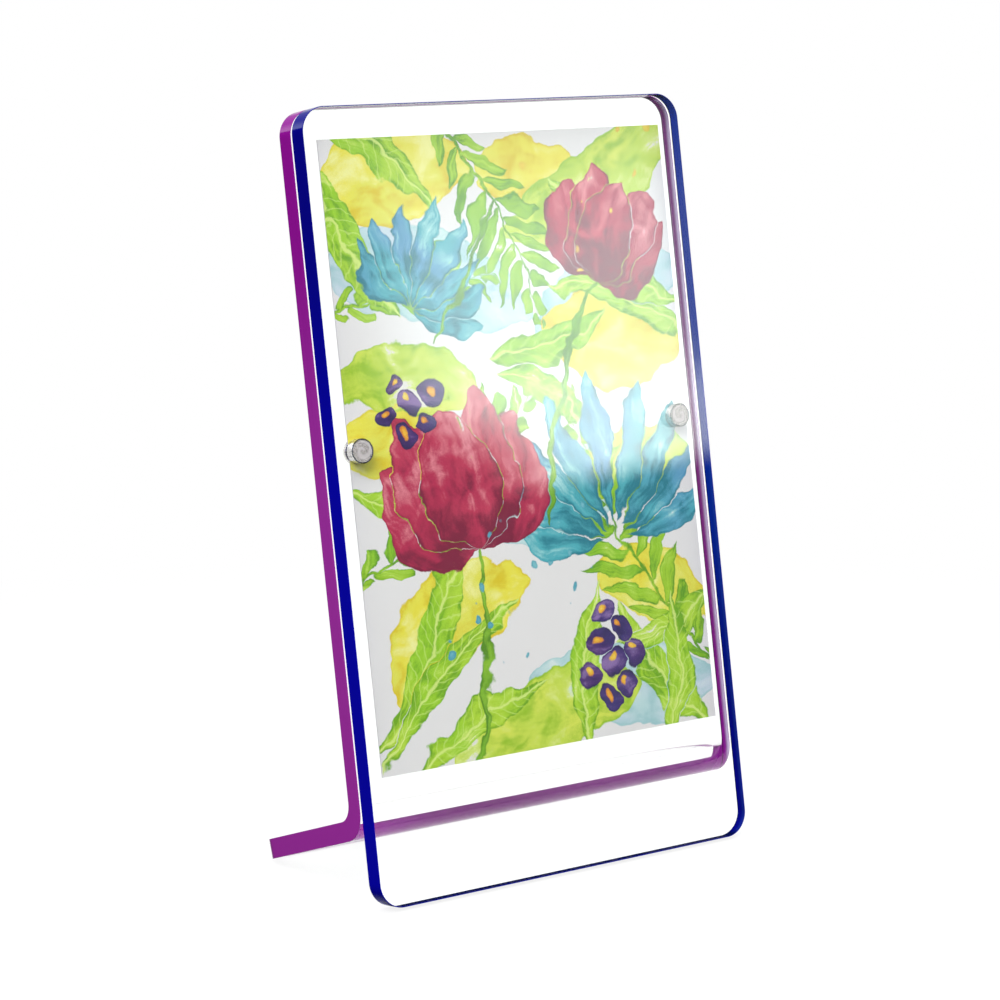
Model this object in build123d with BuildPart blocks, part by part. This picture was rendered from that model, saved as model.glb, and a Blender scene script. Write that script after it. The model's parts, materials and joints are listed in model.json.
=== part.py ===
from build123d import *
from math import atan2, cos, radians, sin, tan
import os

# Magnetic photo frame for one 4 x 6 inch print. Two clear acrylic panels with coloured
# edges stand together, and two pairs of magnets hold them and the print between them.
# The back panel is bent at its foot and props the frame up.
#
# Frame: +X to the viewer's right, -Y towards the viewer, +Z up, and the origin in the
# middle of the ground that the frame covers. All lengths are millimetres.

# Panels
panel_width = 111.5
panel_height = 191.0
sheet_thickness = 5.0
corner_radius = 6.35
edge_coat = 0.2

# Bent foot of the back panel
heel_height = 17.1
foot_length = 50.3
foot_droop = 10.5
bend_inner_radius = 5.0
bend_outer_radius = 8.0

# Magnets, and how they sit in their pockets
magnet_diameter = 6.0
front_magnet_length = 4.0
back_magnet_length = 1.5
magnet_chamfer = 0.2
magnet_proud = 0.25
magnet_edge_distance = 8.0
magnet_height = 109.1
pocket_clearance = 0.1
glue_thickness = 0.25

# Print
print_width = 101.6
print_height = 152.4
print_thickness = 0.25
print_clearance = 0.025
print_top_margin = 7.6
print_shift = 0.8

# Depths behind the front panel's front face
panel_gap = 2 * magnet_proud + print_thickness + 2 * print_clearance
back_front_depth = sheet_thickness + panel_gap
back_rear_depth = back_front_depth + sheet_thickness

# Magnet and pocket sizes that follow
magnet_radius = magnet_diameter / 2
pocket_radius = magnet_radius + pocket_clearance
magnet_reach = panel_width / 2 - magnet_edge_distance
magnet_spots = {"left": (-magnet_reach, magnet_height), "right": (magnet_reach, magnet_height)}
front_pocket_depth = front_magnet_length - magnet_proud + glue_thickness
back_pocket_depth = back_magnet_length - magnet_proud + glue_thickness


def foot_point(along, above=0):
    """Depth and height of a point on the foot: along its underside from the heel, and above it."""
    droop = radians(foot_droop)
    depth = back_front_depth + along * cos(droop) + above * sin(droop)
    height = heel_height - along * sin(droop) + above * cos(droop)
    return depth, height


def inner_corner():
    """Depth and height where the panel's rear face would meet the foot's top face unbent."""
    droop = radians(foot_droop)
    height = heel_height + sheet_thickness / cos(droop) - sheet_thickness * tan(droop)
    return back_rear_depth, height


# The frame leans back until the front panel's lower rear edge and the tip of the foot
# touch one level surface.
tip_depth, tip_height = foot_point(foot_length)
lean = atan2(tip_height, tip_depth - sheet_thickness)


def reach_back(depth, height):
    """How far behind the front panel's lowest front edge a point lies, on the ground."""
    return depth * cos(lean) + height * sin(lean)


ground_depth = max(reach_back(*foot_point(foot_length, sheet_thickness)),
                   reach_back(back_rear_depth, panel_height))
ground_lift = sheet_thickness * sin(lean)

# Every flat outline is drawn on the front panel's front face, X to the right and Y up the
# slope, and offset backwards. The bent outline is drawn from the side, X backwards and Y up.
front_face = Plane(origin=(0, -ground_depth / 2, ground_lift),
                   x_dir=(1, 0, 0), z_dir=(0, -cos(lean), sin(lean)))
side_face = Plane(origin=front_face.origin, x_dir=-front_face.z_dir, z_dir=(1, 0, 0))
foot_normal = side_face.x_dir * sin(radians(foot_droop)) + side_face.y_dir * cos(radians(foot_droop))


def flat_outline(inset):
    """The front panel's rounded outline, drawn in from its outer edge all round by the inset."""
    with Locations((0, inset)):
        RectangleRounded(panel_width - 2 * inset, panel_height - 2 * inset, corner_radius - inset,
                         align=(Align.CENTER, Align.MIN))


def bent_sheet(inset):
    """The bent sheet, drawn in from its outer edge all round by the inset."""
    heel = (back_front_depth, heel_height)
    outline = [
        (back_front_depth, panel_height - inset),
        (back_rear_depth, panel_height - inset),
        inner_corner(),
        foot_point(foot_length - inset, sheet_thickness),
        foot_point(foot_length - inset),
        heel,
    ]
    with BuildPart() as blank:
        with BuildSketch(side_face) as profile:
            with BuildLine():
                Polyline(*outline, close=True)
            make_face()
            fillet(profile.vertices().sort_by_distance(inner_corner())[0], bend_inner_radius)
            fillet(profile.vertices().sort_by_distance(heel)[0], bend_outer_radius)
        extrude(amount=panel_width / 2 - inset, both=True)
        for normal in (front_face.z_dir, foot_normal):
            corners = blank.edges().filter_by(Axis(front_face.origin, normal))
            fillet(corners, corner_radius - inset)
    return blank.part


bent_blank = bent_sheet(0)
bent_core = bent_sheet(edge_coat)

os.makedirs("parts", exist_ok=True)

# Front panel: a flat clear sheet with a blind pocket for each magnet in its rear face
with BuildPart() as front_panel:
    with BuildSketch(front_face):
        flat_outline(edge_coat)
    extrude(amount=-sheet_thickness)
    with BuildSketch(front_face.offset(-sheet_thickness)):
        with Locations(*magnet_spots.values()):
            Circle(pocket_radius)
    extrude(amount=front_pocket_depth, mode=Mode.SUBTRACT)
front_panel.part.label = "front_panel"
export_step(front_panel.part, "parts/front_panel.step")

# Blue coat round the whole edge of the front panel
with BuildPart() as front_edge_paint:
    with BuildSketch(front_face):
        flat_outline(0)
        with Locations((0, edge_coat)):
            RectangleRounded(panel_width - 2 * edge_coat, panel_height - 2 * edge_coat,
                             corner_radius - edge_coat, align=(Align.CENTER, Align.MIN),
                             mode=Mode.SUBTRACT)
    extrude(amount=-sheet_thickness)
front_edge_paint.part.label = "front_edge_paint"
export_step(front_edge_paint.part, "parts/front_edge_paint.step")

# Back panel: the bent clear sheet with a shallow pocket for each magnet in its front face
with BuildPart() as back_panel:
    add(bent_core)
    with BuildSketch(front_face.offset(-back_front_depth)):
        with Locations(*magnet_spots.values()):
            Circle(pocket_radius)
    extrude(amount=-back_pocket_depth, mode=Mode.SUBTRACT)
back_panel.part.label = "back_panel"
export_step(back_panel.part, "parts/back_panel.step")

# Magenta coat round the whole edge of the back panel, down the bend and round the foot
with BuildPart() as back_edge_paint:
    add(bent_blank)
    add(bent_core, mode=Mode.SUBTRACT)
back_edge_paint.part.label = "back_edge_paint"
export_step(back_edge_paint.part, "parts/back_edge_paint.step")

for side, spot in magnet_spots.items():
    # Front magnet: stands a little proud of the front panel's rear face, to meet the print
    with BuildPart() as front_magnet:
        with BuildSketch(front_face.offset(-sheet_thickness - magnet_proud)):
            with Locations(spot):
                Circle(magnet_radius)
        extrude(amount=front_magnet_length)
        chamfer(front_magnet.edges(), magnet_chamfer)
    front_magnet.part.label = f"front_magnet_{side}"
    export_step(front_magnet.part, f"parts/front_magnet_{side}.step")

    # Clear adhesive between the front magnet and its pocket's floor
    with BuildPart() as front_magnet_glue:
        with BuildSketch(front_face.offset(front_pocket_depth - sheet_thickness)):
            with Locations(spot):
                Circle(pocket_radius)
        extrude(amount=-glue_thickness)
    front_magnet_glue.part.label = f"front_magnet_glue_{side}"
    export_step(front_magnet_glue.part, f"parts/front_magnet_glue_{side}.step")

    # Back magnet: a thinner disc, a little proud of the back panel's front face
    with BuildPart() as back_magnet:
        with BuildSketch(front_face.offset(magnet_proud - back_front_depth)):
            with Locations(spot):
                Circle(magnet_radius)
        extrude(amount=-back_magnet_length)
        chamfer(back_magnet.edges(), magnet_chamfer)
    back_magnet.part.label = f"back_magnet_{side}"
    export_step(back_magnet.part, f"parts/back_magnet_{side}.step")

    # Clear adhesive between the back magnet and its pocket's floor
    with BuildPart() as back_magnet_glue:
        with BuildSketch(front_face.offset(-back_front_depth - back_pocket_depth)):
            with Locations(spot):
                Circle(pocket_radius)
        extrude(amount=glue_thickness)
    back_magnet_glue.part.label = f"back_magnet_glue_{side}"
    export_step(back_magnet_glue.part, f"parts/back_magnet_glue_{side}.step")

# Printed card, pinched between the front and the back magnets near its side edges
with BuildPart() as photo_card:
    with BuildSketch(front_face.offset(-sheet_thickness - magnet_proud - print_clearance)):
        with Locations((print_shift, panel_height - print_top_margin)):
            Rectangle(print_width, print_height, align=(Align.CENTER, Align.MAX))
    extrude(amount=-print_thickness)
photo_card.part.label = "photo_card"
export_step(photo_card.part, "parts/photo_card.step")
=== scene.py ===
# %% [markdown]
# # A magnetic photo frame in clear acrylic
# Two clear acrylic panels hold a printed card between them. Magnets glued into shallow
# pockets pull the panels together, and every cut edge carries a coat of colour: deep blue
# on the front panel and magenta on the bent back panel. This lesson dresses the packed
# CAD model: it loads the parts as a fixed frame, then builds clear sheet that bends light
# properly, glossy coats that touch it, nickel-plated magnets and a painted print.

# %% Load the frame and keep its box
import json
from math import atan2, cos, degrees, pi, radians, sin, tan

import bmesh
import bpy
from mathutils import Matrix, Vector


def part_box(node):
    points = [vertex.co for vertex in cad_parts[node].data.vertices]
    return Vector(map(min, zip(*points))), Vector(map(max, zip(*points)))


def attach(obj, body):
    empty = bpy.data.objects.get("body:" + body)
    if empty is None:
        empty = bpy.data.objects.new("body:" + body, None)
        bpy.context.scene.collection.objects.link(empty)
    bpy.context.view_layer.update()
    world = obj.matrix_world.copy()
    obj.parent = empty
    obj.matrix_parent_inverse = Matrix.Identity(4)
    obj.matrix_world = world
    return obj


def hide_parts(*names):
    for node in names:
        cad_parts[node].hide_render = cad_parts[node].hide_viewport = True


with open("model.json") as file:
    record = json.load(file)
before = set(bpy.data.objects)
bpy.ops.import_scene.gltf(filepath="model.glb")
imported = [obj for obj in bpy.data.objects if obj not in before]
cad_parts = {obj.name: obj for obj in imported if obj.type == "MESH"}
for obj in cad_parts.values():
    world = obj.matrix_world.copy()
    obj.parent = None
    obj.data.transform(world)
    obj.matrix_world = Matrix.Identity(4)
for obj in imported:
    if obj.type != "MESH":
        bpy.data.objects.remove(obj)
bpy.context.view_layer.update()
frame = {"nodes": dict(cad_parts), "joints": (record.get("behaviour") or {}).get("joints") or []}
scene = bpy.context.scene

# %% [markdown]
# ## The sloping plane that everything lies in
# The frame leans back, so nothing in it is square to the room. The CAD model's two slides
# give the directions: one pulls the front panel off along its own normal, and the other
# slides the print up the slope. With X they make a set of axes in which the panels are
# flat, upright rectangles. Each piece is modelled there in millimetres, X across, Y up the
# slope and Z out of the front face, and is then carried into the room by one matrix.

# %% Axes of the slope, and the matrix that carries a piece into the room
MM = 0.001
axes = {joint["name"]: Vector(joint["axis"]) for joint in frame["joints"]}
out_of_face = axes["front_pull_off"].normalized()
up_slope = axes["print_slide_out"].normalized()
across = up_slope.cross(out_of_face)
lean = atan2(up_slope.y, up_slope.z)

sheet = 5.0
front_low, front_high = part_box("front_edge_paint")
foot_of_face = Vector((0, front_low.y, sheet * MM * sin(lean)))
slope = Matrix((across, up_slope, out_of_face)).transposed().to_4x4()
slope.translation = foot_of_face
slope_from_mm = slope @ Matrix.Scale(MM, 4)
print(f"the panels lean back by {degrees(lean):.2f} degrees")

# %% [markdown]
# ## The sizes
# The same driving sizes as in the CAD model, in millimetres. The box of the front panel's
# edge is printed after them, so a size that has changed in the CAD model shows at once.

# %% Sizes in millimetres
panel_width = 111.5
panel_height = 191.0
corner_radius = 6.35
edge_coat = 0.2

heel_height = 17.1
foot_length = 50.3
foot_droop = radians(10.5)
inner_bend = 5.0
outer_bend = 8.0

magnet_radius = 3.0
front_magnet_length = 4.0
back_magnet_length = 1.5
magnet_proud = 0.25
magnet_edge_distance = 8.0
magnet_height = 109.1
glue_thickness = 0.25
front_skin = 1.0

panel_gap = 0.8
back_front = sheet + panel_gap
back_rear = back_front + sheet
magnet_spots = [(side * (panel_width / 2 - magnet_edge_distance), magnet_height) for side in (-1, 1)]

print_width, print_height = 101.6, 152.4
print_shift, print_top = 0.8, panel_height - 7.6
print("front panel box, mm:", [round(c / MM, 2) for c in front_high - front_low])

# %% [markdown]
# ## Two small helpers
# Colours are written as the hex values that an artist's colour picker shows, which are
# sRGB, and Blender's shaders count in linear light, so one function turns one into the
# other. The second helper adds a node, fills its sockets with numbers or with links to
# other nodes' outputs, and hands back the output that is wanted. Two sets of settings come
# back all the time: a smooth passage from one number to another, and a mix of two colours.

# %% Colour and node helpers
def colour(hex_code):
    """Linear RGBA of an sRGB colour written as #RRGGBB."""
    parts = [int(hex_code[i:i + 2], 16) / 255 for i in (1, 3, 5)]
    linear = [c / 12.92 if c <= 0.04045 else ((c + 0.055) / 1.055) ** 2.4 for c in parts]
    return (*linear, 1.0)


def add(tree, kind, *values, out=0, **settings):
    """Adds a node. Values fill its inputs in order, or by name from a dict, and None skips one."""
    node = tree.nodes.new("ShaderNode" + kind)
    for name, value in settings.items():
        setattr(node, name, value)
    named = values[0] if values and isinstance(values[0], dict) else dict(enumerate(values))
    for key, value in named.items():
        if isinstance(value, bpy.types.NodeSocket):
            tree.links.new(value, node.inputs[key])
        elif value is not None:
            node.inputs[key].default_value = value
    return node.outputs[out] if out is not None else node


def new_material(name):
    """An empty node material and its tree."""
    material = bpy.data.materials.new(name)
    material.use_nodes = True
    material.node_tree.nodes.clear()
    return material, material.node_tree


def show(tree, shader):
    """Links a finished shader to the material's output."""
    add(tree, "OutputMaterial", shader, out=None)


SMOOTH = {"interpolation_type": "SMOOTHSTEP"}
COLOUR_MIX = {"data_type": "RGBA", "out": 2}
ROUND_STEPS = 96
print("#808080 is", round(colour("#808080")[0], 3), "in linear light")

# %% [markdown]
# ## The camera
# The photograph was taken from the viewer's left, a little above the frame, with a long
# lens that keeps the panels' edges almost parallel. The camera's place and its three
# angles were solved from the outline of the front panel in the photograph, so the
# picture's frame falls where the photograph's does.
#
# Light in a clear sheet is mirrored many times over between its faces before it leaves.
# The renderer's limits on mirrored and bent light are raised for that. With the usual
# ones, the bend of the back panel comes out black.

# %% Camera
camera_data = bpy.data.cameras.new("camera")
camera_data.sensor_width = 36
camera_data.lens = 106.73
heading, dip, roll = radians(-34.586), radians(9.771), radians(-0.6725)
camera = bpy.data.objects.new("camera", camera_data)
camera.rotation_euler = (Matrix.Rotation(heading, 3, "Z") @ Matrix.Rotation(radians(90) - dip, 3, "X")
                         @ Matrix.Rotation(roll, 3, "Z")).to_euler()
camera.location = Vector((-415.63, -601.71, 215.98)) * MM
scene.collection.objects.link(camera)
scene.camera = camera
scene.view_settings.view_transform = "Standard"
scene.cycles.max_bounces = 32
scene.cycles.glossy_bounces = scene.cycles.transmission_bounces = 24
print("camera", [round(c, 3) for c in camera.location], f"{camera_data.lens} mm lens")

# %% [markdown]
# ## Soft studio light
# Clear sheet has no colour of its own, so the room is most of what it shows. A table
# studio is bright overhead and dim near the horizon, and a dark cloth low at the left keeps
# the coloured edges deep. A lit strip of wall just over the cloth catches their rounded
# corners, and a dimmer wall behind the frame keeps the tops of those corners from glaring.
# The world's colour depends only on the direction, through its height above the horizon
# and its compass angle, both in degrees. Each darker part is given by the heights between
# which it fades, its strength, and the angles between which it comes in and goes out.

# %% Height, compass angle, ceiling and walls
world = bpy.data.worlds.new("soft_studio")
world.use_nodes = True
sky = world.node_tree
sky.nodes.clear()
towards = add(sky, "SeparateXYZ", add(sky, "TexCoord", out="Generated"), out=None)
height = add(sky, "Math", towards.outputs["Z"], operation="ARCSINE")
height = add(sky, "Math", height, degrees(1), operation="MULTIPLY")
compass = add(sky, "Math", towards.outputs["X"], towards.outputs["Y"], operation="ARCTAN2")
compass = add(sky, "Math", compass, degrees(1), operation="MULTIPLY")


def between(angle, rise, fall):
    """1 between two angles and 0 outside them, with a smooth passage at each."""
    return add(sky, "Math", add(sky, "MapRange", angle, *rise, 0.0, 1.0, **SMOOTH),
               add(sky, "MapRange", angle, *fall, 1.0, 0.0, **SMOOTH), operation="MULTIPLY")


walls, overhead = 0.75, 1.95
room = add(sky, "MapRange", height, 28.0, 60.0, walls, overhead, **SMOOTH)
dim_front = (13.0, 24.0, 0.98), (114.0, 124.0), (158.0, 168.0)
dark_cloth = (9.0, 11.0, 0.98), (-75.0, -60.0), (-14.0, -4.0)
dim_wall = (24.0, 34.0, 0.55), (-24.0, -8.0), (14.0, 24.0)
for (fades_from, fades_to, strength), rise, fall in (dim_front, dark_cloth, dim_wall):
    dark = add(sky, "MapRange", height, fades_from, fades_to, strength, 0.0, **SMOOTH)
    dark = add(sky, "Math", dark, between(compass, rise, fall), operation="MULTIPLY")
    lit = add(sky, "Math", 1.0, dark, operation="SUBTRACT")
    room = add(sky, "Math", room, lit, operation="MULTIPLY")
strip = add(sky, "Math", add(sky, "MapRange", height, 9.0, 11.0, 0.0, 1.2, **SMOOTH),
            add(sky, "MapRange", height, 11.0, 26.0, 1.0, 0.1, **SMOOTH), operation="MULTIPLY")
strip = add(sky, "Math", strip, between(compass, (-60.0, -45.0), (-28.0, -6.0)), operation="MULTIPLY")
room = add(sky, "Math", room, strip, operation="ADD")
print("room without its window:", len(sky.nodes), "nodes")

# %% [markdown]
# One soft window stands in front of the frame, low enough for the front panel to mirror
# its lower corner: that is the pale veil over the print. It is brightest at its foot, and
# its far side slants. A blind across the near side leaves only the window's foot bright
# there, so the veil is thin over the right-hand edges.

# %% The window and its blind
slanting_side = add(sky, "MapRange", height, 5.2, 8.0, 144.0, 146.4, **SMOOTH)
past_side = add(sky, "Math", compass, slanting_side, operation="SUBTRACT")
blind = add(sky, "Math", add(sky, "MapRange", compass, 141.35, 142.1, 0.32, 1.0, **SMOOTH),
            add(sky, "MapRange", height, 6.2, 7.8, 1.0, 0.0, **SMOOTH), operation="MAXIMUM")
window = add(sky, "MapRange", height, 6.8, 7.9, 6.4, 4.0, **SMOOTH)
for edge in (between(height, (4.9, 5.6), (30.0, 40.0)), blind,
             add(sky, "MapRange", height, 9.0, 12.5, 1.0, 0.25, **SMOOTH),
             add(sky, "MapRange", past_side, -0.6, 2.0, 1.0, 0.0, **SMOOTH),
             add(sky, "MapRange", compass, 112.0, 120.0, 0.0, 1.0, **SMOOTH)):
    window = add(sky, "Math", window, edge, operation="MULTIPLY")
higher_up = add(sky, "MapRange", height, 6.0, 8.5, 0.0, 1.0, **SMOOTH)
daylight = add(sky, "Mix", {0: higher_up, 6: colour("#F9FFFA"), 7: colour("#EFFFFE")}, **COLOUR_MIX)
window = add(sky, "VectorMath", {0: daylight, "Scale": window}, operation="SCALE")
room = add(sky, "VectorMath", window, room, operation="ADD")
print("room with its window:", len(sky.nodes), "nodes")

# %% [markdown]
# What is seen directly, or straight through clear sheet, is plain white paper. Behind the
# sheet it is a little over 1, because each face of the acrylic sends back a twentieth of
# it. Light that the sheet has mirrored on its way sees white as well, but not in the part
# of the room that the front panel mirrors, so the panel's two faces show the same veil.

# %% What is seen directly, and through clear sheet
WHITE_BEHIND = 1.24


def seen_plainly(tree):
    """1 where the eye looks straight here, 1 where it looks by way of clear sheet, and the light path."""
    path = add(tree, "LightPath", out=None)
    within = add(tree, "Math", path.outputs["Transmission Depth"], 0.5, operation="GREATER_THAN")
    within = add(tree, "Math", within, path.outputs["Is Reflection Ray"], operation="MULTIPLY")
    within = add(tree, "Math", within, path.outputs["Is Transmission Ray"], operation="MAXIMUM")
    unlit = add(tree, "Math", path.outputs["Diffuse Depth"], 0.5, operation="LESS_THAN")
    return path.outputs["Is Camera Ray"], add(tree, "Math", within, unlit, operation="MULTIPLY"), path


seen, through, path = seen_plainly(sky)
mirrored = add(sky, "Math", path.outputs["Glossy Depth"], 0.5, operation="GREATER_THAN")
for angle, limit, side in ((compass, 128.0, "GREATER_THAN"), (compass, 162.0, "LESS_THAN"),
                           (height, -2.0, "GREATER_THAN")):
    inside = add(sky, "Math", angle, limit, operation=side)
    mirrored = add(sky, "Math", mirrored, inside, operation="MULTIPLY")
unmirrored = add(sky, "Math", 1.0, mirrored, operation="SUBTRACT")
through = add(sky, "Math", through, unmirrored, operation="MULTIPLY")
light = add(sky, "Mix", {0: through, 6: room, 7: (WHITE_BEHIND,) * 3 + (1.0,)}, **COLOUR_MIX)
light = add(sky, "Mix", {0: seen, 6: light, 7: colour("#FFFFFF")}, **COLOUR_MIX)
add(sky, "OutputWorld", add(sky, "Background", light), out=None)
scene.world = world
print("world nodes:", len(sky.nodes))

# %% [markdown]
# ## A soft lamp and the table
# One large lamp, high in front and to the left, gives the pieces a soft side and a faint
# shadow. The table is a white round top, matt, so it lights the frame from below. The
# photograph's table is burnt out to white, so here the table is mostly plain white where
# it is seen, and a share of its true shade keeps the frame's shadow on it. In what the
# underside of the frame mirrors, the strip of table in front and to the left is painted
# dark, a painted dark reflection that keeps the lower edges of the sheets from glaring.

# %% Lamp
lamp_data = bpy.data.lights.new("soft_lamp", "AREA")
lamp_data.shape = "DISK"
lamp_data.size = 0.9
lamp_data.energy = 19
aimed_at = Vector((0, 0, 0.1))
lamp = bpy.data.objects.new("soft_lamp", lamp_data)
lamp.location = (-0.75, -0.95, 1.15)
lamp.rotation_euler = (aimed_at - lamp.location).to_track_quat("-Z", "Y").to_euler()
scene.collection.objects.link(lamp)
print(f"lamp {lamp_data.size} m wide, {(aimed_at - lamp.location).length:.2f} m away")

# %% Table
table_radius = 0.6
bm = bmesh.new()
bmesh.ops.create_circle(bm, cap_ends=True, segments=ROUND_STEPS, radius=table_radius)
table_mesh = bpy.data.meshes.new("table")
bm.to_mesh(table_mesh)
bm.free()
table = bpy.data.objects.new("table", table_mesh)
table.location.z = -0.0002
scene.collection.objects.link(table)

material, tree = new_material("matt white laminate")
seen, through, path = seen_plainly(tree)
spot = add(tree, "TexCoord", out="Object")
place = add(tree, "SeparateXYZ", spot, out=None)
# Painted dark reflection: only mirrored rays see this front-left strip of the table dark.
at_left = add(tree, "MapRange", place.outputs["X"], -0.058, -0.05, 1.0, 0.0, **SMOOTH)
in_front = add(tree, "MapRange", place.outputs["Y"], -0.03, -0.02, 1.0, 0.0, **SMOOTH)
painted_dark_reflection = add(tree, "Math", at_left, in_front, operation="MAXIMUM")
painted_dark_reflection = add(tree, "Math", painted_dark_reflection, path.outputs["Is Reflection Ray"], operation="MULTIPLY")
laminate = add(tree, "Mix", {0: painted_dark_reflection, 6: colour("#F2F2F2"), 7: colour("#1C1C1E")}, **COLOUR_MIX)
brightness = add(tree, "Mix", {0: through, 2: 1.0, 3: WHITE_BEHIND}, data_type="FLOAT")
white = add(tree, "Emission", colour("#FFFFFF"), brightness)
from_middle = add(tree, "VectorMath", spot, operation="LENGTH", out="Value")
share = add(tree, "Math", add(tree, "Math", seen, through, operation="MAXIMUM"),
            add(tree, "MapRange", from_middle, 0.1, 0.4, 0.85, 1.0, **SMOOTH), operation="MULTIPLY")
show(tree, add(tree, "MixShader", share, add(tree, "BsdfDiffuse", laminate), white))
table_mesh.materials.append(material)
print("table radius", table_radius, "m")

# %% [markdown]
# ## Clear panels
# Each panel is cut from 5 mm cast acrylic with rounded corners. A flat rectangle whose
# corners are bevelled as vertices gives the outline, and everything else grows from it.
# The sheet's own edge lies a hair inside its coat of paint. The two overlap on purpose:
# paint that wets the acrylic has no air behind it, so the eye sees its colour through the
# sheet and not a mirror.

# %% Outline of a panel
ARC_STEPS = 24
wetting = 0.05
SAME_PLACE = 1e-5


def panel_outline(low, high, inset):
    """A flat rounded rectangle, from low to high up the slope, drawn in by the inset."""
    bm = bmesh.new()
    width, height = panel_width - 2 * inset, high - low - 2 * inset
    to_size = Matrix.Translation((0, (low + high) / 2, 0)) @ Matrix.Diagonal((width, height, 1, 1))
    bmesh.ops.create_grid(bm, x_segments=1, y_segments=1, size=0.5, matrix=to_size)
    bmesh.ops.bevel(bm, geom=bm.verts[:], offset=corner_radius - inset, offset_type="OFFSET",
                    segments=ARC_STEPS, profile=0.5, affect="VERTICES", material=-1)
    return bm


bm = panel_outline(0, panel_height, 0)
print("outline:", len(bm.verts), "vertices,", len(bm.faces), "face")
bm.free()

# %% [markdown]
# The pockets are blind round holes for the magnets. The pocketed face is filled between
# the outline and the two pocket rims; then the outline is extruded to the far face, and
# each rim to its pocket's floor. Glue has crept round each magnet, so its wall and its end
# touch the acrylic with no film of air. The pocket is drawn a hair inside the magnet for
# that, and the plating shows through the sheet and not a silver mirror of air.

# %% Clear sheet with two pockets
hugging = 0.02


def move(made, z):
    """Puts the vertices that an extrusion made at one height, and returns the edges between them."""
    for item in made["geom"]:
        if isinstance(item, bmesh.types.BMVert):
            item.co.z = z
    edges = [item for item in made["geom"] if isinstance(item, bmesh.types.BMEdge)]
    return [edge for edge in edges if all(abs(vert.co.z - z) < SAME_PLACE for vert in edge.verts)]


def clear_sheet(low, high, pocketed, plain, pocket_floor):
    """A clear sheet between two heights, with a pocket for each magnet in its pocketed face."""
    bm = panel_outline(low, high, edge_coat - wetting)
    bmesh.ops.delete(bm, geom=bm.faces[:], context="FACES_ONLY")
    outline = bm.edges[:]
    for x, y in magnet_spots:
        bmesh.ops.create_circle(bm, cap_ends=False, segments=ROUND_STEPS, radius=magnet_radius - hugging,
                                matrix=Matrix.Translation((x, y, 0)))
    rims = [edge for edge in bm.edges if edge not in set(outline)]
    for vert in bm.verts:
        vert.co.z = pocketed
    bmesh.ops.triangle_fill(bm, use_beauty=True, use_dissolve=False, edges=bm.edges[:])
    for edges, depth in ((outline, plain), (rims, pocket_floor)):
        made = bmesh.ops.extrude_edge_only(bm, edges=edges)
        bmesh.ops.edgeloop_fill(bm, edges=move(made, depth))
    return bm


print(f"pockets {2 * (magnet_radius - hugging):.2f} mm wide at {magnet_spots}")

# %% [markdown]
# ## The bend
# The back panel is one sheet, heated along a line and folded, so it is modelled flat, with
# its foot straight below it, and then bent as the real one is. Cuts across the bend give
# it bands to fold. The sheet's front face runs round the heel on an 8 mm curve and its
# rear face round a 5 mm one, so each point between the faces takes its share of both.

# %% Bending a flat sheet at its heel
BEND_STEPS = 32
first_cut = 0.3
turn = radians(90) - foot_droop
inner_start = heel_height + sheet * (1 / cos(foot_droop) - tan(foot_droop)) + inner_bend * tan(turn / 2)
outer_start = heel_height + outer_bend * tan(turn / 2)
lag = inner_start - outer_start
outer_run = 2 * lag + outer_bend * turn
bend_end = inner_start - outer_run
foot_start = outer_bend * tan(turn / 2) + lag
foot_tip = bend_end - (foot_length - foot_start)


def round_heel(radius, depth, start, angle):
    """Depth and height after a turn by the angle on a curve of the radius that begins at the start."""
    return Vector((depth + radius * (1 - cos(angle)), start - radius * sin(angle)))


def bend(point):
    """Where a point of the flat sheet lies once the foot is folded back."""
    if point.y >= inner_start:
        return point.copy()
    through = (-point.z - back_front) / sheet
    along_foot = Vector((cos(foot_droop), -sin(foot_droop)))
    run = min(inner_start - point.y, outer_run)
    past = max(bend_end - point.y, 0)
    angle = min(max((run - lag) / outer_bend, 0), turn)
    front = round_heel(outer_bend, back_front, outer_start, angle)
    front += along_foot * max(run - lag - outer_bend * turn, 0) - Vector((0, 1)) * min(run - lag, 0)
    rear = round_heel(inner_bend, back_rear, inner_start, turn * run / outer_run)
    depth, height = front.lerp(rear, through) + along_foot * past
    return Vector((point.x, height, -depth))


def fold_foot(bm):
    """Cuts the flat sheet into narrow bands across the bend and folds its foot back."""
    cuts = [inner_start - outer_run * step / BEND_STEPS for step in range(BEND_STEPS + 1)]
    for y in [inner_start + first_cut, *cuts, bend_end - first_cut]:
        bmesh.ops.bisect_plane(bm, geom=bm.verts[:] + bm.edges[:] + bm.faces[:], dist=SAME_PLACE,
                               plane_co=(0, y, 0), plane_no=(0, 1, 0))
    for vert in bm.verts:
        vert.co = bend(vert.co)


print(f"bend from {inner_start:.2f} mm up the slope, foot tip {-foot_tip:.2f} mm below it when flat")

# %% [markdown]
# Every new piece ends the same way. Its normals are made to point outwards, its faces are
# shaded smooth with the sharp edges kept sharp, one matrix carries it from slope
# millimetres into the room, and it rides on the body that it belongs to. The Weighted
# Normal modifier lets the large faces set the shading, so a flat sheet reflects flatly
# right up to the curves beside it.

# %% Finish a piece
sharp_from = radians(28)


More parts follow.
